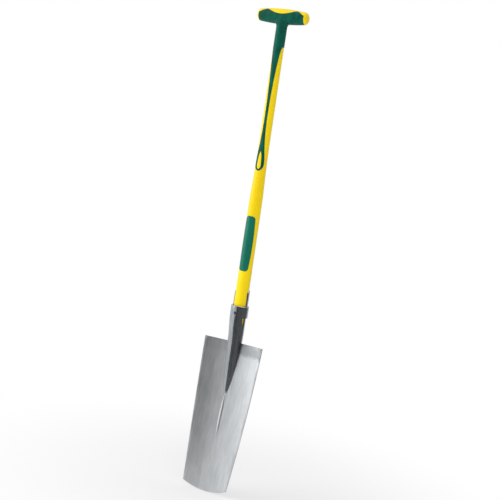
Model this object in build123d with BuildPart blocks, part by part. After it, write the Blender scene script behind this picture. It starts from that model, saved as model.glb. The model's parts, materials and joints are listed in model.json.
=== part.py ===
from build123d import *
import math
import os

# Garden spade with a long narrow blade, a strapped socket and a cross grip.
# Frame: the shaft stands on the Z axis, the blade hangs below and the dished face looks to -Y.
# The origin is the middle of the straight band of the shaft that a rack clip holds.
# Millimetres and degrees throughout.

os.makedirs("parts", exist_ok=True)

# Shaft, by height above the clip band's middle
clip_length = 34.0
clip_radius = 15.6
socket_fit_radius = 15.2
swell_foot_height = 162.0
swell_foot_radius = 15.4
swell_top_height = 327.0
upper_radius = 12.3
neck_height = 541.0
neck_seat_radius = 10.6
sheath_wall = 2.2
sheath_end_gap = 0.4

# Cross grip
grip_height = 610.2
grip_length = 125.4
grip_middle_radius = 17.6
grip_end_radius = 14.3
grip_end_rounding = 8.0
grip_core_radius = 10.8
grip_core_length = 100.0
tenon_radius = 7.5
tenon_above_axis = 7.0
grip_pin_radius = 2.0
grip_pin_length = 19.0

# Soft cover of the grip, with the strip and loop that run down the front of the shaft
cover_thickness = 2.0
cover_half_length = 57.0
neck_flare_start = 5.0
neck_flare_reach = 4.5
neck_flare_into_grip = 3.2
inlay_depth = 0.9
inlay_proud = 0.35
loop_bottom_height = 256.5
loop_hole_top_height = 302.0
loop_hole_bottom_height = 260.6
# Half widths of the strip and loop and of the loop's hole, each with its height
strip_half_widths = [
    (13.0, 549.0),
    (11.8, 541.0),
    (9.3, 523.0),
    (7.1, 495.0),
    (5.4, 467.0),
    (4.25, 439.0),
    (3.45, 408.0),
    (3.35, 383.0),
    (3.95, 355.0),
    (5.5, 327.0),
    (7.9, 303.0),
    (10.4, 277.0),
    (7.8, 261.5),
]
loop_hole_half_widths = [
    (1.9, 297.5),
    (3.9, 285.0),
    (4.7, 272.0),
    (3.3, 263.5),
]
# Height above the grip's axis at which its yellow top starts, by distance from the middle
yellow_top_heights = [
    (0.0, 5.0),
    (10.0, 5.9),
    (20.0, 8.3),
    (29.0, 11.6),
    (37.0, 13.8),
    (45.0, 11.5),
    (52.0, 7.6),
    (59.0, 4.4),
]

# Badge plate on the front of the shaft
badge_bottom_height = 22.0
badge_top_height = 151.0
badge_half_width = 12.9
badge_end_half_width = 11.1
badge_corner_radius = 7.0
badge_depth = 0.7
badge_proud = 0.5

# Socket: a collar, a front shell that runs on as the nose of the blade, and a back strap
collar_top_height = -60.5
collar_length = 27.5
collar_radius = 21.2
collar_chamfer = 1.0
shell_radius = 18.0
window_length = 35.5
window_front_angle = 55.0
strap_top_height = -22.0
strap_corner_radius = 11.0
strap_thickness = 2.7
strap_wrap = 3.0
nose_taper_start_height = -131.5
nose_taper = 0.036
nose_end_height = -271.0
foot_cut_start_height = -118.0
foot_cut_drop = 132.0
foot_end_height = -228.0
core_end_height = -208.0
rivet_radius = 2.4
rivet_head_radius = 4.2
rivet_head_height = 1.9
rivet_head_sink = 0.6
rivet_head_taper = 28.0
rivet_below_collar_top = 16.5

# Blade
blade_top_height = -148.6
blade_top_setback = 0.65
blade_length = 355.7
blade_top_half_width = 76.5
blade_foot_half_width = 58.0
blade_side_bow = 2.3
blade_foot_rise = 12.5
blade_thickness = 2.5
blade_lift = 7.6
blade_dish = 8.0
blade_lengthwise_dish = 3.5
blade_corner_radius = 1.5

# What follows from the sizes above
collar_bottom_height = collar_top_height - collar_length
window_bottom_height = collar_bottom_height - window_length
lift = math.radians(blade_lift)
cross_radius = (blade_top_half_width**2 + blade_dish**2) / (2 * blade_dish)
long_radius = (blade_length**2 / 4 + blade_lengthwise_dish**2) / (2 * blade_lengthwise_dish)
blade_top = Vector(0, blade_top_setback, blade_top_height)
blade_front = Vector(0, -math.cos(lift), math.sin(lift))
blade_up = Vector(0, math.sin(lift), math.cos(lift))
blade_plane = Plane(origin=blade_top, x_dir=(1, 0, 0), z_dir=blade_front)
beyond = 60.0
sheath_top_height = grip_height - grip_core_radius - sheath_end_gap
rivet_height = collar_top_height - rivet_below_collar_top
neck_cover_radius = upper_radius + inlay_proud
foot_cut_normal = Vector(0, 1, -2 * socket_fit_radius / foot_cut_drop).normalized()


def tapered(radius, height):
    """What radius shrinks to at a height on the tapering nose."""
    return radius - nose_taper * max(0.0, nose_taper_start_height - height)


def side_points(offset):
    """Radius and height along the shaft's side, moved out by offset."""
    half_clip = clip_length / 2
    return [
        (tapered(socket_fit_radius, foot_end_height - beyond) + offset, foot_end_height - beyond),
        (socket_fit_radius + offset, nose_taper_start_height),
        (socket_fit_radius + offset, strap_top_height),
        (clip_radius + offset, -half_clip),
        (clip_radius + offset, half_clip),
        (swell_foot_radius + offset, swell_foot_height),
    ]


def swell_points(offset):
    """The shaft's swell, a gentle S between the thick and the thin part."""
    drop = swell_top_height - swell_foot_height
    growth = swell_foot_radius - upper_radius
    return [
        (swell_foot_radius - 0.1 * growth + offset, swell_foot_height + 0.2 * drop),
        (swell_foot_radius - 0.45 * growth + offset, swell_foot_height + 0.42 * drop),
        (swell_foot_radius - 0.82 * growth + offset, swell_foot_height + 0.72 * drop),
    ]


def shaft_form(offset, top_height):
    """The shaft turned about Z, offset from its side, up to top_height in the grip."""
    side = side_points(offset)
    foot = side[-1]
    thin = (upper_radius + offset, swell_top_height)
    with BuildPart() as form:
        with BuildSketch(Plane.XZ):
            with BuildLine():
                Polyline((0, side[0][1]), *side)
                Spline(foot, *swell_points(offset), thin, tangents=((0, 1), (0, 1)))
                Polyline(thin, (thin[0], top_height), (0, top_height), (0, side[0][1]))
            make_face()
        revolve(axis=Axis.Z)
    return form.part


def behind_foot_cut(setback):
    """A block behind the slanting cut of the shaft's foot, moved forward by setback."""
    start = Vector(0, socket_fit_radius, foot_cut_start_height) - foot_cut_normal * setback
    cut_plane = Plane(origin=start, x_dir=(1, 0, 0), z_dir=foot_cut_normal)
    with BuildPart() as block:
        with BuildSketch(cut_plane):
            Rectangle(4 * shell_radius, 8 * beyond)
        extrude(amount=2 * beyond)
    return block.part


def dished_slab(in_front, behind, below=0.0):
    """The blade's dished surface thickened to the front and to the back, straight sided."""
    centre = blade_top - blade_up * (blade_length / 2)
    centre = centre + blade_front * (long_radius - blade_lengthwise_dish)
    top_angle = blade_length / 2 / long_radius
    foot_angle = -(blade_length / 2 + below) / long_radius
    outward = blade_up * math.sin(foot_angle) - blade_front * math.cos(foot_angle)
    along = blade_up * math.cos(foot_angle) + blade_front * math.sin(foot_angle)
    section = Plane(origin=centre + outward * long_radius, x_dir=(1, 0, 0), z_dir=along * -1)
    half = blade_top_half_width + 8
    angle = math.degrees(math.asin(half / (cross_radius - in_front)))
    with BuildPart() as slab:
        with BuildSketch(section):
            with BuildLine():
                front = CenterArc((0, cross_radius), cross_radius - in_front, 270 - angle, 2 * angle)
                back = CenterArc((0, cross_radius), cross_radius + behind, 270 - angle, 2 * angle)
                Line(front @ 0, back @ 0)
                Line(front @ 1, back @ 1)
            make_face()
        turn = math.degrees(top_angle - foot_angle)
        revolve(axis=Axis(centre, (1, 0, 0)), revolution_arc=turn)
    return slab.part


def front_outline(top_height, half_widths, bottom_height):
    """A prism along Y in front of the shaft, the same left and right, between two heights."""
    with BuildPart() as prism:
        with BuildSketch(Plane.XZ):
            with BuildLine():
                Spline((0.0, top_height), *half_widths, (0.0, bottom_height))
                mirror(about=Plane.YZ)
            make_face()
        extrude(amount=beyond)
    return prism.part


def half_space(depth):
    """A block in front of the plane Y = depth, far larger than the socket."""
    with BuildPart() as block:
        with BuildSketch(Plane.XZ.offset(-depth)):
            Rectangle(20 * beyond, 20 * beyond)
        extrude(amount=2 * beyond)
    return block.part


def grip_body(inset):
    """The cross grip's barrel, turned about its own axis and shrunk by inset."""
    half = grip_length / 2 - inset
    middle = grip_middle_radius - inset
    end = grip_end_radius - inset
    rounding = grip_end_rounding - inset
    with BuildPart() as barrel:
        with BuildSketch(Plane.XZ):
            with BuildLine():
                crown = ThreePointArc(
                    (-half + rounding, grip_height + end),
                    (0, grip_height + middle),
                    (half - rounding, grip_height + end),
                )
                left = TangentArc(
                    crown @ 0, (-half, grip_height + end - rounding), tangent=(crown % 0) * -1
                )
                right = TangentArc(
                    crown @ 1, (half, grip_height + end - rounding), tangent=crown % 1
                )
                Polyline(left @ 1, (-half, grip_height), (half, grip_height), right @ 1)
            make_face()
        revolve(axis=Axis((0, 0, grip_height), (1, 0, 0)))
    return barrel.part


def upright_rod(radius, bottom, top):
    """A round rod on the shaft's axis."""
    with BuildPart() as rod:
        with BuildSketch(Plane.XY.offset(bottom)):
            Circle(radius)
        extrude(amount=top - bottom)
    return rod.part


def socket_rod(radius, top):
    """A rod on the shaft's axis that tapers with the nose, down to the foot's end."""
    with BuildPart() as rod:
        with BuildSketch(Plane.XZ):
            with BuildLine():
                Polyline(
                    (0, top),
                    (radius, top),
                    (radius, nose_taper_start_height),
                    (tapered(radius, foot_end_height), foot_end_height),
                    (0, foot_end_height),
                    close=True,
                )
            make_face()
        revolve(axis=Axis.Z)
    return rod.part


def cross_rod(radius, height, half_length):
    """A round rod from front to back at a height, for pins, rivets and their holes."""
    with BuildPart() as rod:
        with BuildSketch(Plane.XZ.offset(-half_length)):
            with Locations((0, height)):
                Circle(radius)
        extrude(amount=2 * half_length)
    return rod.part


foot_cut = behind_foot_cut(0)
sheath_form = shaft_form(0, neck_height) - foot_cut
blade_room_behind = dished_slab(0, beyond, beyond)
blade_room_front = dished_slab(beyond, blade_thickness, beyond)
rivet_shank = cross_rod(rivet_radius, rivet_height, collar_radius)
grip_pin_rod = cross_rod(grip_pin_radius, grip_height, grip_pin_length / 2)

# Shaft core: ash rod with a slanting foot and a tenon at the top
with BuildPart() as shaft_core:
    add(shaft_form(-sheath_wall, neck_height))
    add(upright_rod(neck_seat_radius - sheath_wall, neck_height - 1, sheath_top_height))
    add(upright_rod(tenon_radius, neck_height, grip_height + tenon_above_axis))
    add(behind_foot_cut(sheath_wall), mode=Mode.SUBTRACT)
    with BuildSketch(Plane.XY.offset(core_end_height)):
        Circle(2 * shell_radius)
    extrude(amount=-3 * beyond, mode=Mode.SUBTRACT)
    add(rivet_shank, mode=Mode.SUBTRACT)
    add(grip_pin_rod, mode=Mode.SUBTRACT)

# Cover: T shell, neck sleeve, strip and loop in one soft moulding
with BuildPart() as grip_yellow_top:
    with BuildSketch(Plane.XZ):
        with BuildLine():
            right_edge = [(x, grip_height + rise) for x, rise in yellow_top_heights]
            left_edge = [(-x, height) for x, height in reversed(right_edge[1:])]
            edge = Spline(*left_edge, *right_edge)
            Polyline(
                edge @ 1,
                (right_edge[-1][0], grip_height + beyond),
                (left_edge[0][0], grip_height + beyond),
                edge @ 0,
            )
        make_face()
    extrude(amount=beyond, both=True)

with BuildPart() as neck_sleeve:
    with BuildSketch(Plane.XZ):
        with BuildLine():
            underside = grip_height - grip_middle_radius
            flare = ThreePointArc(
                (neck_cover_radius, underside - neck_flare_start),
                (neck_cover_radius + 0.3 * neck_flare_reach, underside - 0.25 * neck_flare_start),
                (neck_cover_radius + neck_flare_reach, underside + neck_flare_into_grip),
            )
            Polyline(
                flare @ 1,
                (neck_cover_radius + neck_flare_reach, grip_height),
                (0, grip_height),
                (0, neck_height),
                (neck_cover_radius, neck_height),
                flare @ 0,
            )
        make_face()
    revolve(axis=Axis.Z)
    add(grip_body(cover_thickness), mode=Mode.SUBTRACT)

strip_outline = front_outline(neck_height + 16, strip_half_widths, loop_bottom_height)
loop_hole = front_outline(loop_hole_top_height, loop_hole_half_widths, loop_hole_bottom_height)

with BuildPart() as strip:
    add(shaft_form(inlay_proud, neck_height + 0.5))
    add(shaft_form(-inlay_depth, neck_height + 1), mode=Mode.SUBTRACT)
    add(strip_outline, mode=Mode.INTERSECT)
    add(loop_hole, mode=Mode.SUBTRACT)

with BuildPart() as grip_cover:
    add(grip_body(0))
    add(grip_body(cover_thickness), mode=Mode.SUBTRACT)
    with BuildSketch(Plane.YZ.offset(-cover_half_length)):
        with Locations((0, grip_height)):
            Circle(3 * grip_middle_radius)
    extrude(amount=2 * cover_half_length, mode=Mode.INTERSECT)
    add(grip_yellow_top.part, mode=Mode.SUBTRACT)
    add(neck_sleeve.part)
    add(upright_rod(neck_seat_radius, neck_height - 1, grip_height), mode=Mode.SUBTRACT)
    add(strip.part)

# Sheath: the hard skin over the core
with BuildPart() as shaft_sheath:
    add(sheath_form)
    add(upright_rod(neck_seat_radius, neck_height - 1, sheath_top_height))
    with BuildSketch(Plane.XY.offset(foot_end_height + sheath_wall)):
        Circle(2 * shell_radius)
    extrude(amount=-3 * beyond, mode=Mode.SUBTRACT)

# Badge plate, without any lettering
badge_middle = (badge_bottom_height + badge_top_height) / 2
badge_half_height = (badge_top_height - badge_bottom_height) / 2
with BuildPart() as badge_outline:
    with BuildSketch(Plane.XZ):
        with BuildLine():
            right_side = ThreePointArc(
                (badge_end_half_width, badge_middle - badge_half_height),
                (badge_half_width, badge_middle),
                (badge_end_half_width, badge_middle + badge_half_height),
            )
            left_side = ThreePointArc(
                (-badge_end_half_width, badge_middle - badge_half_height),
                (-badge_half_width, badge_middle),
                (-badge_end_half_width, badge_middle + badge_half_height),
            )
            Line(right_side @ 0, left_side @ 0)
            Line(right_side @ 1, left_side @ 1)
        badge_face = make_face()
        fillet(badge_face.vertices(), radius=badge_corner_radius)
    extrude(amount=beyond)

with BuildPart() as badge:
    add(shaft_form(badge_proud, neck_height))
    add(shaft_form(-badge_depth, neck_height), mode=Mode.SUBTRACT)
    add(badge_outline.part, mode=Mode.INTERSECT)

with BuildPart() as sheath_finished:
    add(shaft_sheath.part)
    add(shaft_core.part, mode=Mode.SUBTRACT)
    add(grip_cover.part, mode=Mode.SUBTRACT)
    add(badge.part, mode=Mode.SUBTRACT)
    add(rivet_shank, mode=Mode.SUBTRACT)

# Cross grip: wooden core, pin and hard shell
with BuildPart() as grip_core:
    with BuildSketch(Plane.YZ.offset(-grip_core_length / 2)):
        with Locations((0, grip_height)):
            Circle(grip_core_radius)
    extrude(amount=grip_core_length)
    chamfer(grip_core.edges().filter_by(GeomType.CIRCLE), length=1.5)
    add(upright_rod(tenon_radius, neck_height, grip_height + tenon_above_axis), mode=Mode.SUBTRACT)
    add(grip_pin_rod, mode=Mode.SUBTRACT)

with BuildPart() as grip_pin:
    add(grip_pin_rod)

with BuildPart() as grip_shell:
    add(grip_body(0))
    with BuildSketch(Plane.YZ.offset(-grip_core_length / 2)):
        with Locations((0, grip_height)):
            Circle(grip_core_radius)
    extrude(amount=grip_core_length, mode=Mode.SUBTRACT)
    add(upright_rod(neck_seat_radius, neck_height, grip_height), mode=Mode.SUBTRACT)
    add(grip_cover.part, mode=Mode.SUBTRACT)

# Socket: collar and front shell, forged as one and running on as the blade's nose
with BuildPart() as foot_room:
    add(socket_rod(socket_fit_radius, 0))
    add(foot_cut, mode=Mode.SUBTRACT)

with BuildPart() as socket:
    with BuildSketch(Plane.XZ):
        with BuildLine():
            Polyline(
                (0, collar_top_height),
                (collar_radius - collar_chamfer, collar_top_height),
                (collar_radius, collar_top_height - collar_chamfer),
                (collar_radius, collar_bottom_height),
                (shell_radius, nose_taper_start_height),
                (tapered(shell_radius, foot_end_height - beyond), foot_end_height - beyond),
                (0, foot_end_height - beyond),
                close=True,
            )
        make_face()
    revolve(axis=Axis.Z)
    with BuildSketch(Plane.XY.offset(collar_bottom_height)):
        Rectangle(4 * collar_radius, beyond, align=(Align.CENTER, Align.MIN))
    extrude(amount=foot_end_height - 2 * beyond, mode=Mode.SUBTRACT)
    shell_edge_setback = -collar_radius * math.cos(math.radians(window_front_angle))
    with BuildSketch(Plane.YZ):
        with BuildLine():
            edge = Spline(
                (shell_edge_setback, collar_bottom_height),
                (shell_edge_setback * 0.55, collar_bottom_height - window_length * 0.62),
                (0, window_bottom_height),
            )
            Polyline(edge @ 1, (1, window_bottom_height), (1, collar_bottom_height), edge @ 0)
        make_face()
    extrude(amount=beyond, both=True, mode=Mode.SUBTRACT)
    add(blade_room_behind, mode=Mode.SUBTRACT)
    with BuildSketch(Plane.XY.offset(nose_end_height)):
        Circle(2 * shell_radius)
    extrude(amount=-3 * beyond, mode=Mode.SUBTRACT)
    add(foot_room.part, mode=Mode.SUBTRACT)

# Back strap: half a tube behind the shaft, closing over the slanting foot
with BuildPart() as back_strap:
    add(socket_rod(socket_fit_radius + strap_thickness, strap_top_height))
    add(half_space(-strap_wrap), mode=Mode.SUBTRACT)
    with BuildSketch(Plane.XZ):
        strap_width = 2 * (socket_fit_radius + strap_thickness)
        with Locations((0, (strap_top_height + foot_end_height) / 2)):
            strap_face = Rectangle(strap_width, strap_top_height - foot_end_height)
        fillet(strap_face.vertices().group_by(Axis.Z)[-1], radius=strap_corner_radius)
    extrude(amount=beyond, both=True, mode=Mode.INTERSECT)
    add(foot_room.part, mode=Mode.SUBTRACT)
    add(behind_foot_cut(-strap_thickness), mode=Mode.SUBTRACT)
    add(blade_room_front, mode=Mode.SUBTRACT)

with BuildPart() as socket_rivet:
    add(rivet_shank)
    for direction in (-1, 1):
        seat = Plane(
            origin=(0, direction * (collar_radius - rivet_head_sink), rivet_height),
            x_dir=(1, 0, 0),
            z_dir=(0, direction, 0),
        )
        with BuildSketch(seat):
            Circle(rivet_head_radius)
        extrude(amount=rivet_head_height, taper=rivet_head_taper)

with BuildPart() as socket_finished:
    add(socket.part)
    add(back_strap.part, mode=Mode.SUBTRACT)
    add(socket_rivet.part, mode=Mode.SUBTRACT)

with BuildPart() as strap_finished:
    add(back_strap.part)
    add(socket_rivet.part, mode=Mode.SUBTRACT)

# Blade: a dished plate, open behind the nose for the shaft's foot
with BuildPart() as blade:
    add(dished_slab(0, blade_thickness, 10))
    with BuildSketch(blade_plane):
        with BuildLine():
            foot_corner = -(blade_length - blade_foot_rise)
            mid_half_width = (blade_top_half_width + blade_foot_half_width) / 2 + blade_side_bow
            right = ThreePointArc(
                (blade_top_half_width, 0),
                (mid_half_width, foot_corner / 2),
                (blade_foot_half_width, foot_corner),
            )
            left = ThreePointArc(
                (-blade_top_half_width, 0),
                (-mid_half_width, foot_corner / 2),
                (-blade_foot_half_width, foot_corner),
            )
            ThreePointArc(right @ 1, (0, -blade_length), left @ 1)
            Line(left @ 0, right @ 0)
        outline_face = make_face()
        fillet(outline_face.vertices(), radius=blade_corner_radius)
    extrude(amount=beyond, both=True, mode=Mode.INTERSECT)
    add(foot_room.part, mode=Mode.SUBTRACT)

pieces = {
    "shaft_core": shaft_core,
    "shaft_sheath": sheath_finished,
    "grip_core": grip_core,
    "grip_pin": grip_pin,
    "grip_shell": grip_shell,
    "grip_cover": grip_cover,
    "badge_plate": badge,
    "socket": socket_finished,
    "back_strap": strap_finished,
    "socket_rivet": socket_rivet,
    "blade": blade,
}
for name, piece in pieces.items():
    piece.part.label = name
    export_step(piece.part, f"parts/{name}.step")
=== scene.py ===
import json
import math

import bpy
from mathutils import Matrix, Vector

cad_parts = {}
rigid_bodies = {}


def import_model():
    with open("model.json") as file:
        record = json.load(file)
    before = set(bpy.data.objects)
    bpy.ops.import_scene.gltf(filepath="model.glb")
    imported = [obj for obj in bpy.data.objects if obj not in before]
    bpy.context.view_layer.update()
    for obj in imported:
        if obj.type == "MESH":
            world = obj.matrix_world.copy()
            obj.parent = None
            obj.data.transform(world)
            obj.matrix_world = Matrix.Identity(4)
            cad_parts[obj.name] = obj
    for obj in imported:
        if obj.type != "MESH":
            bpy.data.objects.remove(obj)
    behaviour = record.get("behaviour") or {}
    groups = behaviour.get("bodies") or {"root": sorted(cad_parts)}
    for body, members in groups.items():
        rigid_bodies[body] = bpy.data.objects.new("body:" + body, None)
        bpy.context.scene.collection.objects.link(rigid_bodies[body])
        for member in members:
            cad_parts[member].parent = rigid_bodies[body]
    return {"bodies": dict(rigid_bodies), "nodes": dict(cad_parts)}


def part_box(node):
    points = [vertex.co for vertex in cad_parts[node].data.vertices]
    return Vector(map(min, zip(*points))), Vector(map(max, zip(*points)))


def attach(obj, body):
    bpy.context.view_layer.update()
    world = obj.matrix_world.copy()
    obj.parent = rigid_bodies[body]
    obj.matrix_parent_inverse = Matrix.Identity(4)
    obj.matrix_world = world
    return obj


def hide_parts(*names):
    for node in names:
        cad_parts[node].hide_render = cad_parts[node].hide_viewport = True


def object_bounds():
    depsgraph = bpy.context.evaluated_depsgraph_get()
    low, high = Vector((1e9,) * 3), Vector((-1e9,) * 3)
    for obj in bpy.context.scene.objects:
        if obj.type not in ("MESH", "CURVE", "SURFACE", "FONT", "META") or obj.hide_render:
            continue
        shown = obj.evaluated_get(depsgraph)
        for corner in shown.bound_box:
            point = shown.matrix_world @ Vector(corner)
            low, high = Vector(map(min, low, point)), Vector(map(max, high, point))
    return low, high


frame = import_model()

bl_info = {
    "name": "Garden spade looks",
    "version": (1, 0, 0),
    "blender": (4, 5, 0),
    "location": "View3D > Sidebar > Spade",
    "description": "Builds the finished look of a trenching spade around its CAD frame",
    "category": "Object",
}

MM = 0.001
CAD_LOW, CAD_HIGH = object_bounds()
BODY = next(iter(frame["bodies"]))
# materials already made, by the function that makes them
MADE = {}

# edges
MERGE_DISTANCE = 0.002 * MM
SHARP_ANGLE = math.radians(35)
ROUNDING_SEGMENTS = 3
SHEATH_ROUND = 0.15 * MM
SHELL_ROUND = 0.2 * MM
BADGE_ROUND = 0.3 * MM
RIVET_ROUND = 0.4 * MM

# dark band along the blade's top, darker towards the right
BAND_DEPTH = 23 * MM
BAND_FADE = 8 * MM
BAND_WANDER = 16 * MM
# from the left of the blade to its right, and how dark the band is there
BAND_SIDES = (-30 * MM, 20 * MM)
BAND_STRENGTH = (0.12, 0.5)

# ridge that the nose dies away in
RUN_OUT_OVERLAP = 12 * MM
RUN_OUT_HALF_WIDTH = 4.0 * MM
RUN_OUT_HALF_DEPTH = 1.3 * MM
RUN_OUT_SINK = 0.6 * MM
# metres in front of the shaft, where the search for the blade's face starts
WELL_IN_FRONT = 0.3

# stage, in metres
FLOOR_RADIUS = 40
FLOOR_GAP = 0.5 * MM
FLOOR_FADE = (0.1, 0.8)
FLOOR_GLOW = (0.5, 1.0)
CURTAIN_FACES = 120
# name, radius, foot, top, the setting that says where it starts
CURTAINS = (
    ("low_curtain", 0.6, CAD_LOW.z, 0.15, "low_curtain_start"),
    ("high_curtain", 1.5, 0.15, 1.6, "high_curtain_start"),
)
# name, place, width and height, watts, whether the steel mirrors it
LAMPS = (
    ("key_lamp", (-2.2, -1.3, 1.0), (1.8, 2.4), 46, True),
    ("top_lamp", (0.2, 0.4, 2.8), (1.8, 1.8), 12, True),
    ("fill_lamp", (1.6, -2.4, 0.5), (1.4, 2.0), 22, False),
)
SENSOR_WIDTH = 36
CLIP_END = 100


# ---------------------------------------------------------------- settings

class SpadeColours(bpy.types.PropertyGroup):
    """Colours of the spade's finishes, as sRGB hex values."""

    sheath: bpy.props.StringProperty(
        name="Sheath yellow", description="Moulded skin of shaft and cross grip", default="FFE000")
    sheath_worn: bpy.props.StringProperty(
        name="Sheath worn yellow", description="Where hands have dulled the yellow", default="FBD600")
    cover: bpy.props.StringProperty(
        name="Soft cover green", description="Soft moulding of the grip", default="00614F")
    cover_dark: bpy.props.StringProperty(
        name="Soft cover dark green", description="Darker flow of the soft moulding", default="004A3B")
    badge: bpy.props.StringProperty(
        name="Badge green", description="Bare badge plate", default="08755F")
    steel: bpy.props.StringProperty(
        name="Ground steel", description="Blade, ground lengthwise", default="D2D4D6")
    steel_dark: bpy.props.StringProperty(
        name="Ground steel, dark lines", description="Bottom of the grinding lines", default="B4B8BB")
    # darker colour for a band along the blade's top, heavier towards the right
    steel_band: bpy.props.StringProperty(
        name="Top band steel", description="Darker steel along the blade's top", default="6F7578")
    polished: bpy.props.StringProperty(
        name="Polished steel", description="Collar, shell and strap", default="AEB3B8")
    ash: bpy.props.StringProperty(
        name="Ash wood", description="Cores inside the sheath", default="C9A877")


class SpadeSizes(bpy.types.PropertyGroup):
    """Sizes of the finish, the camera and the stage."""

    edge_round: bpy.props.FloatProperty(
        name="Steel edge rounding", description="Radius ground on the steel's edges",
        default=0.5 * MM, unit="LENGTH")
    soft_round: bpy.props.FloatProperty(
        name="Soft edge rounding", description="Radius moulded on the soft cover's edges",
        default=0.35 * MM, unit="LENGTH")
    run_out_length: bpy.props.FloatProperty(
        name="Run-out length", description="Ridge below the nose's tip",
        default=130 * MM, unit="LENGTH")
    camera_distance: bpy.props.FloatProperty(
        name="Camera distance", description="From the aimed point to the camera",
        default=2.672, unit="LENGTH")
    camera_turn: bpy.props.FloatProperty(
        name="Camera turn", description="To the right of the spade's front",
        default=math.radians(26.587), subtype="ANGLE")
    camera_rise: bpy.props.FloatProperty(
        name="Camera rise", description="Above the level of the aimed point",
        default=math.radians(6.417), subtype="ANGLE")
    camera_roll: bpy.props.FloatProperty(
        name="Camera roll", description="Turn about the line of sight",
        default=math.radians(8.48), subtype="ANGLE")
    camera_lens: bpy.props.FloatProperty(
        name="Lens", description="Focal length in millimetres on a 36 mm sensor", default=82.79)
    aim_side: bpy.props.FloatProperty(
        name="Aim to the side", description="Aimed point, to the camera's right of the shaft",
        default=3.35 * MM, unit="LENGTH")
    aim_height: bpy.props.FloatProperty(
        name="Aim height", description="Aimed point above the shaft clip band",
        default=71.42 * MM, unit="LENGTH")
    room_light: bpy.props.FloatProperty(
        name="Room light", description="Strength of the white room's own light", default=0.5)
    low_curtain_start: bpy.props.FloatProperty(
        name="Low curtain start", description="Turn to the right of the spade's front",
        default=math.radians(-24), subtype="ANGLE")
    high_curtain_start: bpy.props.FloatProperty(
        name="High curtain start", description="Turn to the right of the spade's front",
        default=math.radians(-62), subtype="ANGLE")
    curtain_end: bpy.props.FloatProperty(
        name="Curtain end", description="Turn to the right of the spade's front",
        default=math.radians(150), subtype="ANGLE")


def colours():
    """The colours as set in this scene."""
    return bpy.context.scene.spade_colours


def sizes():
    """The sizes as set in this scene."""
    return bpy.context.scene.spade_sizes


# ---------------------------------------------------------------- materials

def linear(hex_colour):
    """An sRGB hex colour as linear RGBA."""
    channels = [int(hex_colour[i:i + 2], 16) / 255 for i in (0, 2, 4)]
    return [c / 12.92 if c <= 0.04045 else ((c + 0.055) / 1.055) ** 2.4 for c in channels] + [1.0]


def grey(value):
    """A linear grey, for a colour ramp that gives a plain number."""
    return [value, value, value, 1.0]


def darker(colour, part):
    """A linear colour with part of its light."""
    return [channel * part for channel in colour[:3]] + [1.0]


def link(tree, node, links):
    """Links sockets to a node's inputs, by name or number."""
    for key, socket in links.items():
        tree.links.new(socket, node.inputs[key])


def add_node(tree, kind, settings=None, links=None, stops=()):
    """Adds a node. A setting's key is an input's name or number, or else a property.

    Stops are the two places of a colour ramp, each with its linear colour.
    """
    made = tree.nodes.new(kind)
    for key, value in (settings or {}).items():
        if isinstance(key, int) or key in made.inputs:
            made.inputs[key].default_value = value
        else:
            setattr(made, key, value)
    if stops:
        for element, (position, colour) in zip(made.color_ramp.elements, stops):
            element.position = position
            element.color = colour
    link(tree, made, links or {})
    return made


def new_material(name, **shader_values):
    """A material with one principled shader. Returns it with its tree, shader and coordinates."""
    made = bpy.data.materials.new(name)
    made.use_nodes = True
    tree = made.node_tree
    shader = tree.nodes["Principled BSDF"]
    for key, value in shader_values.items():
        shader.inputs[key.replace("_", " ")].default_value = value
    place = add_node(tree, "ShaderNodeTexCoord").outputs["Object"]
    return made, tree, shader, place


def marks(tree, place, size_mm, detail=3.0, roughness=0.55):
    """Uneven marks that are size_mm long along each axis."""
    scale = [1 / (size * MM) for size in size_mm]
    mapping = add_node(tree, "ShaderNodeMapping", {"Scale": scale}, {"Vector": place})
    noise = add_node(tree, "ShaderNodeTexNoise",
                     {"Scale": 1.0, "Detail": detail, "Roughness": roughness},
                     {"Vector": mapping.outputs["Vector"]})
    return noise.outputs["Fac"]


def moulded_polypropylene():
    """Polypropylene moulded in a finely sparked steel tool: satin, even colour, soft highlight."""
    made, tree, shader, place = new_material(
        "moulded_polypropylene_yellow", IOR=1.49, Roughness=0.4, Specular_IOR_Level=0.3)
    flow = marks(tree, place, (40, 40, 160))
    shade = add_node(tree, "ShaderNodeValToRGB", links={"Fac": flow},
                     stops=[(0.35, linear(colours().sheath_worn)), (0.6, linear(colours().sheath))])
    scuffs = marks(tree, place, (6, 6, 25), detail=6)
    rough = add_node(tree, "ShaderNodeValToRGB", links={"Fac": scuffs},
                     stops=[(0.4, grey(0.34)), (0.7, grey(0.5))])
    # sparked grain is 0.1 mm on the tool and drawn at 0.6 mm so that it shows
    grain = marks(tree, place, (0.6, 0.6, 0.6), detail=2)
    bump = add_node(tree, "ShaderNodeBump", {"Strength": 0.12, "Distance": 0.05 * MM}, {"Height": grain})
    link(tree, shader, {"Base Color": shade.outputs["Color"], "Roughness": rough.outputs["Color"],
                        "Normal": bump.outputs["Normal"]})
    return made


def moulded_elastomer():
    """Thermoplastic elastomer moulded over the sheath: matt, with a faint broad highlight."""
    made, tree, shader, place = new_material(
        "moulded_elastomer_green", IOR=1.5, Roughness=0.5, Specular_IOR_Level=0.15)
    flow = marks(tree, place, (12, 12, 30), detail=4)
    shade = add_node(tree, "ShaderNodeValToRGB", links={"Fac": flow},
                     stops=[(0.35, linear(colours().cover_dark)), (0.65, linear(colours().cover))])
    # the tool's grain is 0.2 mm and drawn at 0.9 mm so that it shows
    grain = marks(tree, place, (0.9, 0.9, 0.9), detail=2)
    bump = add_node(tree, "ShaderNodeBump", {"Strength": 0.3, "Distance": 0.08 * MM}, {"Height": grain})
    link(tree, shader, {"Base Color": shade.outputs["Color"], "Normal": bump.outputs["Normal"]})
    return made


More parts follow.
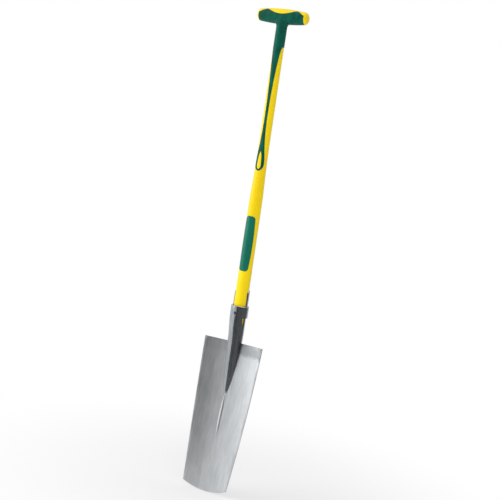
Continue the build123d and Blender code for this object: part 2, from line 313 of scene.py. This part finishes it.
def badge_plastic():
    """ABS plate moulded smooth and left bare: a clearer highlight than the sheath's."""
    made, tree, shader, place = new_material(
        "moulded_abs_green", IOR=1.52, Roughness=0.3, Specular_IOR_Level=0.25)
    flow = marks(tree, place, (30, 30, 60))
    base = linear(colours().badge)
    shade = add_node(tree, "ShaderNodeValToRGB", links={"Fac": flow},
                     stops=[(0.3, darker(base, 0.8)), (0.7, base)])
    wear = marks(tree, place, (3, 3, 8), detail=6)
    rough = add_node(tree, "ShaderNodeValToRGB", links={"Fac": wear},
                     stops=[(0.35, grey(0.24)), (0.75, grey(0.42))])
    link(tree, shader, {"Base Color": shade.outputs["Color"], "Roughness": rough.outputs["Color"]})
    return made


def ground_steel():
    """Forged carbon steel ground lengthwise under clear lacquer: fine lines, dull silver."""
    made, tree, shader, place = new_material("ground_carbon_steel", Metallic=1.0, Roughness=0.36)
    # grinding lines are 0.2 mm apart and drawn at 1 mm so that they show
    lines = marks(tree, place, (1.0, 25, 45), detail=5, roughness=0.7)
    clouds = marks(tree, place, (18, 60, 60), detail=4)
    part_clouds = add_node(tree, "ShaderNodeMath", {"operation": "MULTIPLY", 1: 0.3}, {0: clouds})
    mixed = add_node(tree, "ShaderNodeMath", {"operation": "MULTIPLY_ADD", 1: 0.7},
                     {0: lines, 2: part_clouds.outputs["Value"]})
    shade = add_node(tree, "ShaderNodeValToRGB", links={"Fac": mixed.outputs["Value"]},
                     stops=[(0.36, linear(colours().steel_dark)), (0.6, linear(colours().steel))])
    # the dark band along the blade's top is mixed into the steel's colour here
    # sockets 6 and 7 are the Mix node's two colours
    tinted = add_node(tree, "ShaderNodeMix", {"data_type": "RGBA", 7: linear(colours().steel_band)},
                      {0: dark_top_band(tree, place), 6: shade.outputs["Color"]})
    rough = add_node(tree, "ShaderNodeValToRGB", links={"Fac": lines},
                     stops=[(0.3, grey(0.3)), (0.7, grey(0.44))])
    bump = add_node(tree, "ShaderNodeBump", {"Strength": 0.2, "Distance": 0.05 * MM}, {"Height": lines})
    link(tree, shader, {"Base Color": tinted.outputs[2], "Roughness": rough.outputs["Color"],
                        "Normal": bump.outputs["Normal"]})
    return made


def dark_top_band(tree, place):
    """How dark the band along the blade's top is made: a cloudy lower border, and darker towards the right.
    """
    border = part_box("blade")[1].z - BAND_DEPTH
    parts = add_node(tree, "ShaderNodeSeparateXYZ", links={"Vector": place}).outputs
    clouds = marks(tree, place, (7, 7, 7), detail=5)
    wander = add_node(tree, "ShaderNodeMath", {"operation": "MULTIPLY_ADD", 1: BAND_WANDER},
                      {0: clouds, 2: parts["Z"]})
    band = add_node(tree, "ShaderNodeMapRange", {"From Min": border, "From Max": border + BAND_FADE},
                    {"Value": wander.outputs["Value"]})
    side = add_node(tree, "ShaderNodeMapRange",
                    {"From Min": BAND_SIDES[0], "From Max": BAND_SIDES[1],
                     "To Min": BAND_STRENGTH[0], "To Max": BAND_STRENGTH[1]},
                    {"Value": parts["X"]})
    amount = add_node(tree, "ShaderNodeMath", {"operation": "MULTIPLY"},
                      {0: band.outputs["Result"], 1: side.outputs["Result"]})
    return amount.outputs["Value"]


def polished_steel():
    """Forged steel buffed along its length: near mirror, drawn out in long streaks."""
    made, tree, shader, place = new_material("polished_carbon_steel", Metallic=1.0, Roughness=0.16)
    streaks = marks(tree, place, (1.6, 1.6, 60), detail=5, roughness=0.65)
    base = linear(colours().polished)
    shade = add_node(tree, "ShaderNodeValToRGB", links={"Fac": streaks},
                     stops=[(0.35, darker(base, 0.7)), (0.62, base)])
    rough = add_node(tree, "ShaderNodeValToRGB", links={"Fac": streaks},
                     stops=[(0.3, grey(0.12)), (0.7, grey(0.26))])
    # buffing leaves flats a few millimetres wide that run with the shaft
    flats = marks(tree, place, (5, 5, 140), detail=1)
    low = add_node(tree, "ShaderNodeBump", {"Strength": 1.0, "Distance": 0.6 * MM}, {"Height": flats})
    bump = add_node(tree, "ShaderNodeBump", {"Strength": 0.2, "Distance": 0.05 * MM},
                    {"Height": streaks, "Normal": low.outputs["Normal"]})
    link(tree, shader, {"Base Color": shade.outputs["Color"], "Roughness": rough.outputs["Color"],
                        "Normal": bump.outputs["Normal"]})
    return made


def drawn_steel():
    """Plain drawn wire, headed cold: darker, with small hammer marks."""
    made, tree, shader, place = new_material("headed_steel_wire", Metallic=1.0, Roughness=0.38)
    blows = marks(tree, place, (1.5, 1.5, 1.5), detail=2)
    shade = add_node(tree, "ShaderNodeValToRGB", links={"Fac": blows},
                     stops=[(0.35, linear("4A4D50")), (0.7, linear("7C8084"))])
    bump = add_node(tree, "ShaderNodeBump", {"Strength": 0.4, "Distance": 0.15 * MM}, {"Height": blows})
    link(tree, shader, {"Base Color": shade.outputs["Color"], "Normal": bump.outputs["Normal"]})
    return made


def ash_wood():
    """Sawn ash along the shaft: pale, open grain in long lines."""
    made, tree, shader, place = new_material("sawn_ash", IOR=1.5, Roughness=0.6)
    grain = marks(tree, place, (1.8, 1.8, 80), detail=5, roughness=0.7)
    base = linear(colours().ash)
    shade = add_node(tree, "ShaderNodeValToRGB", links={"Fac": grain},
                     stops=[(0.35, darker(base, 0.6)), (0.65, base)])
    bump = add_node(tree, "ShaderNodeBump", {"Strength": 0.3, "Distance": 0.1 * MM}, {"Height": grain})
    link(tree, shader, {"Base Color": shade.outputs["Color"], "Normal": bump.outputs["Normal"]})
    return made


def grey_molton():
    """Matt grey stage cloth, brushed: no gloss at all."""
    made, tree, shader, place = new_material("grey_molton", Roughness=1.0, Specular_IOR_Level=0.0)
    nap = marks(tree, place, (30, 30, 30))
    shade = add_node(tree, "ShaderNodeValToRGB", links={"Fac": nap},
                     stops=[(0.3, linear("727272")), (0.7, linear("7E7E7E"))])
    link(tree, shader, {"Base Color": shade.outputs["Color"]})
    return made


def material(make):
    """The material that a maker function gives, made once."""
    if make not in MADE:
        MADE[make] = make()
    return MADE[make]


def give(piece, made):
    """Makes a material the piece's only one."""
    piece.data.materials.clear()
    piece.data.materials.append(made)


# ---------------------------------------------------------------- modelling helpers

def only(piece):
    """Leaves piece as the one selected and active object."""
    bpy.ops.object.select_all(action="DESELECT")
    piece.select_set(True)
    bpy.context.view_layer.objects.active = piece


def settle(piece, name, slot, made, *nodes):
    """Names a finished piece, gives its material and hides the CAD nodes it stands for."""
    piece.name = name
    piece.data.name = name
    give(piece, made)
    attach(piece, BODY)
    if nodes:
        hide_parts(*nodes)


def rounded_copy(node, round_by):
    """A merged copy of a CAD node with its sharp edges rounded."""
    source = frame["nodes"][node]
    copy = source.copy()
    copy.data = source.data.copy()
    bpy.context.scene.collection.objects.link(copy)
    copy.parent = None
    for key in list(copy.keys()):
        del copy[key]
    only(copy)
    bpy.ops.object.mode_set(mode="EDIT")
    bpy.ops.mesh.select_all(action="SELECT")
    bpy.ops.mesh.remove_doubles(threshold=MERGE_DISTANCE)
    bpy.ops.object.mode_set(mode="OBJECT")
    bevel = copy.modifiers.new("rounding", "BEVEL")
    bevel.width = round_by
    bevel.segments = ROUNDING_SEGMENTS
    bevel.limit_method = "ANGLE"
    bevel.angle_limit = SHARP_ANGLE
    bpy.ops.object.modifier_apply(modifier=bevel.name)
    bpy.ops.object.shade_smooth_by_angle(angle=SHARP_ANGLE)
    return copy


# ---------------------------------------------------------------- pieces

class SPADE_OT_cores(bpy.types.Operator):
    """Finish the wooden cores and the pin inside the handle"""
    bl_idname = "spade.cores"
    bl_label = "Cores"

    def execute(self, context):
        for node in ("shaft_core", "grip_core"):
            give(frame["nodes"][node], material(ash_wood))
        give(frame["nodes"]["grip_pin"], material(drawn_steel))
        return {"FINISHED"}


class SPADE_OT_shaft(bpy.types.Operator):
    """Finish the yellow sheath of the shaft and the badge plate"""
    bl_idname = "spade.shaft"
    bl_label = "Shaft"

    def execute(self, context):
        sheath = rounded_copy("shaft_sheath", SHEATH_ROUND)
        settle(sheath, "sheath_skin", "yellow_sheath", material(moulded_polypropylene),
               "shaft_sheath")
        badge = rounded_copy("badge_plate", BADGE_ROUND)
        settle(badge, "badge_bare", "green_badge", material(badge_plastic), "badge_plate")
        return {"FINISHED"}


class SPADE_OT_grip(bpy.types.Operator):
    """Finish the cross grip's hard shell and its soft cover"""
    bl_idname = "spade.grip"
    bl_label = "Cross grip"

    def execute(self, context):
        shell = rounded_copy("grip_shell", SHELL_ROUND)
        settle(shell, "grip_shell_skin", "yellow_sheath", material(moulded_polypropylene),
               "grip_shell")
        cover = rounded_copy("grip_cover", sizes().soft_round)
        settle(cover, "grip_cover_skin", "green_soft_grip", material(moulded_elastomer),
               "grip_cover")
        return {"FINISHED"}


class SPADE_OT_socket(bpy.types.Operator):
    """Finish the collar, front shell, back strap and rivet"""
    bl_idname = "spade.socket"
    bl_label = "Socket"

    def execute(self, context):
        for node, name in (("socket", "socket_forging"), ("back_strap", "strap_forging")):
            piece = rounded_copy(node, sizes().edge_round)
            settle(piece, name, "polished_steel", material(polished_steel), node)
        rivet = rounded_copy("socket_rivet", RIVET_ROUND)
        settle(rivet, "rivet_headed", "rivet_steel", material(drawn_steel), "socket_rivet")
        return {"FINISHED"}


class SPADE_OT_blade(bpy.types.Operator):
    """Finish the blade and the ridge below its nose"""
    bl_idname = "spade.blade"
    bl_label = "Blade"

    def execute(self, context):
        blade = rounded_copy("blade", sizes().edge_round)
        self.run_out()
        settle(blade, "blade_forging", "satin_steel", material(ground_steel), "blade")
        return {"FINISHED"}

    def run_out(self):
        """The low ridge that the nose dies away in, down the middle of the blade's front."""
        plate = frame["nodes"]["blade"]
        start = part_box("socket")[0].z + RUN_OUT_OVERLAP
        end = start - sizes().run_out_length
        ends = []
        for height in (start, (start + end) / 2, end):
            hit, place, normal, face = plate.ray_cast(Vector((0, -WELL_IN_FRONT, height)), Vector((0, 1, 0)))
            if not hit:
                raise RuntimeError("the blade's front isn't where the run-out starts or ends")
            ends.append(place)
        top, middle, foot = ends
        lean = (top - foot).to_track_quat("Z", "Y").to_euler()
        bpy.ops.object.select_all(action="DESELECT")
        bpy.ops.mesh.primitive_uv_sphere_add(
            segments=32, ring_count=48, radius=1.0, rotation=lean,
            location=middle + Vector((0, RUN_OUT_SINK, 0)),
            scale=(RUN_OUT_HALF_WIDTH, RUN_OUT_HALF_DEPTH, sizes().run_out_length / 2))
        ridge = bpy.context.object
        bpy.ops.object.transform_apply(location=True, rotation=True, scale=True)
        bpy.ops.object.shade_smooth()
        settle(ridge, "nose_run_out", "satin_steel", material(ground_steel))


# ---------------------------------------------------------------- stage

def soft_box(name, place, size, power, mirrored):
    """A soft box that looks at the middle of the spade."""
    bpy.ops.object.light_add(type="AREA", location=place)
    lamp = bpy.context.object
    lamp.name = name
    lamp.data.shape = "RECTANGLE"
    lamp.data.size, lamp.data.size_y = size
    lamp.data.energy = power
    lamp.visible_glossy = mirrored
    aim = Vector((0, 0, (CAD_LOW.z + CAD_HIGH.z) / 2))
    lamp.rotation_euler = (aim - Vector(place)).to_track_quat("-Z", "Y").to_euler()


class SPADE_OT_stage(bpy.types.Operator):
    """Set the floor, the background, the lamps and the camera"""
    bl_idname = "spade.stage"
    bl_label = "Stage"

    def execute(self, context):
        self.floor()
        self.background(context)
        for name, radius, foot, top, start in CURTAINS:
            self.curtain(name, radius, foot, top, getattr(sizes(), start))
        for lamp in LAMPS:
            soft_box(*lamp)
        self.camera(context)
        context.scene.view_settings.view_transform = "Standard"
        return {"FINISHED"}

    def floor(self):
        """A pale floor that turns to the white of the room far from the spade."""
        bpy.ops.mesh.primitive_circle_add(vertices=96, radius=FLOOR_RADIUS, fill_type="NGON",
                                          location=(0, 0, CAD_LOW.z - FLOOR_GAP))
        floor = bpy.context.object
        floor.name = "floor"
        made, tree, shader, place = new_material("pale_floor", Roughness=0.9, Specular_IOR_Level=0.0)
        shader.inputs["Base Color"].default_value = linear("F4F4F4")
        away = add_node(tree, "ShaderNodeVectorMath", {"operation": "LENGTH"}, {0: place})
        fade = add_node(tree, "ShaderNodeMapRange",
                        {"interpolation_type": "SMOOTHSTEP",
                         "From Min": FLOOR_FADE[0], "From Max": FLOOR_FADE[1],
                         "To Min": FLOOR_GLOW[0], "To Max": FLOOR_GLOW[1]},
                        {"Value": away.outputs["Value"]})
        seen = self.background_seen(tree)
        part = add_node(tree, "ShaderNodeMath", {"operation": "MULTIPLY"},
                        {0: fade.outputs[0], 1: seen})
        white = add_node(tree, "ShaderNodeEmission", {"Color": linear("FFFFFF"), "Strength": 1.0})
        mix = add_node(tree, "ShaderNodeMixShader",
                       links={0: part.outputs[0], 1: shader.outputs[0], 2: white.outputs[0]})
        tree.links.new(mix.outputs[0], tree.nodes["Material Output"].inputs["Surface"])
        give(floor, made)

    def background_seen(self, tree):
        """1 on rays that show the background: straight, mirrored or through glass."""
        path = add_node(tree, "ShaderNodeLightPath")
        direct = add_node(tree, "ShaderNodeMath", {"operation": "MAXIMUM"},
                          {0: path.outputs["Is Camera Ray"], 1: path.outputs["Is Glossy Ray"]})
        return add_node(tree, "ShaderNodeMath", {"operation": "MAXIMUM"},
                        {0: direct.outputs[0], 1: path.outputs["Is Transmission Ray"]}).outputs[0]

    def background(self, context):
        """A white room that lights the spade gently and is seen as plain white."""
        world = bpy.data.worlds.new("white_room")
        world.use_nodes = True
        tree = world.node_tree
        light = tree.nodes["Background"]
        light.inputs["Color"].default_value = linear("FFFFFF")
        light.inputs["Strength"].default_value = sizes().room_light
        seen = add_node(tree, "ShaderNodeBackground", {"Color": linear("FFFFFF"), "Strength": 1.0})
        mix = add_node(tree, "ShaderNodeMixShader",
                       links={0: self.background_seen(tree), 1: light.outputs[0], 2: seen.outputs[0]})
        tree.links.new(mix.outputs[0], tree.nodes["World Output"].inputs["Surface"])
        context.scene.world = world

    def curtain(self, name, radius, foot, top, start):
        """A grey cloth that only mirrors see, round the right of the spade."""
        bpy.ops.mesh.primitive_cylinder_add(
            vertices=CURTAIN_FACES, radius=radius, depth=top - foot,
            end_fill_type="NOTHING", location=(0, 0, (foot + top) / 2))
        cloth = bpy.context.object
        cloth.name = name
        only(cloth)
        bpy.ops.object.transform_apply(location=True, rotation=False, scale=False)
        end = sizes().curtain_end
        bpy.ops.object.mode_set(mode="EDIT")
        bpy.ops.mesh.select_mode(type="FACE")
        bpy.ops.mesh.select_all(action="DESELECT")
        bpy.ops.object.mode_set(mode="OBJECT")
        for face in cloth.data.polygons:
            turn = math.atan2(face.center.x, -face.center.y)
            face.select = not start < turn < end
        bpy.ops.object.mode_set(mode="EDIT")
        bpy.ops.mesh.delete(type="FACE")
        bpy.ops.object.mode_set(mode="OBJECT")
        give(cloth, material(grey_molton))
        for ray in ("camera", "diffuse", "transmission", "shadow"):
            setattr(cloth, "visible_" + ray, False)

    def camera(self, context):
        """A camera that looks at the aimed point, turned about its line of sight."""
        size = sizes()
        turn, rise, roll = size.camera_turn, size.camera_rise, size.camera_roll
        back = Vector((math.sin(turn) * math.cos(rise), -math.cos(turn) * math.cos(rise), math.sin(rise)))
        right = Vector((math.cos(turn), math.sin(turn), 0))
        up = back.cross(right)
        place = Vector((0, 0, size.aim_height)) + right * size.aim_side + back * size.camera_distance
        rolled_right = right * math.cos(roll) + up * math.sin(roll)
        rolled_up = up * math.cos(roll) - right * math.sin(roll)
        bpy.ops.object.camera_add()
        camera = bpy.context.object
        camera.name = "camera"
        turned = Matrix((rolled_right, rolled_up, back)).transposed()
        camera.matrix_world = Matrix.Translation(place) @ turned.to_4x4()
        camera.data.sensor_width = SENSOR_WIDTH
        camera.data.lens = size.camera_lens
        camera.data.clip_end = CLIP_END
        context.scene.camera = camera


OPERATORS = (SPADE_OT_cores, SPADE_OT_shaft, SPADE_OT_grip, SPADE_OT_socket, SPADE_OT_blade,
             SPADE_OT_stage)


class SPADE_PT_panel(bpy.types.Panel):
    """The spade's operators and settings"""
    bl_idname = "SPADE_PT_panel"
    bl_label = "Garden spade"
    bl_space_type = "VIEW_3D"
    bl_region_type = "UI"
    bl_category = "Spade"

    def draw(self, context):
        for made in OPERATORS:
            self.layout.operator(made.bl_idname)
        for group in (context.scene.spade_colours, context.scene.spade_sizes):
            for name in group.__annotations__:
                self.layout.prop(group, name)


CLASSES = (SpadeColours, SpadeSizes) + OPERATORS + (SPADE_PT_panel,)


def register():
    for made in CLASSES:
        bpy.utils.register_class(made)
    bpy.types.Scene.spade_colours = bpy.props.PointerProperty(type=SpadeColours)
    bpy.types.Scene.spade_sizes = bpy.props.PointerProperty(type=SpadeSizes)


def unregister():
    del bpy.types.Scene.spade_sizes
    del bpy.types.Scene.spade_colours
    for made in reversed(CLASSES):
        bpy.utils.unregister_class(made)


def main():
    register()
    for made in OPERATORS:
        group, name = made.bl_idname.split(".")
        getattr(getattr(bpy.ops, group), name)()


if __name__ == "__main__":
    main()
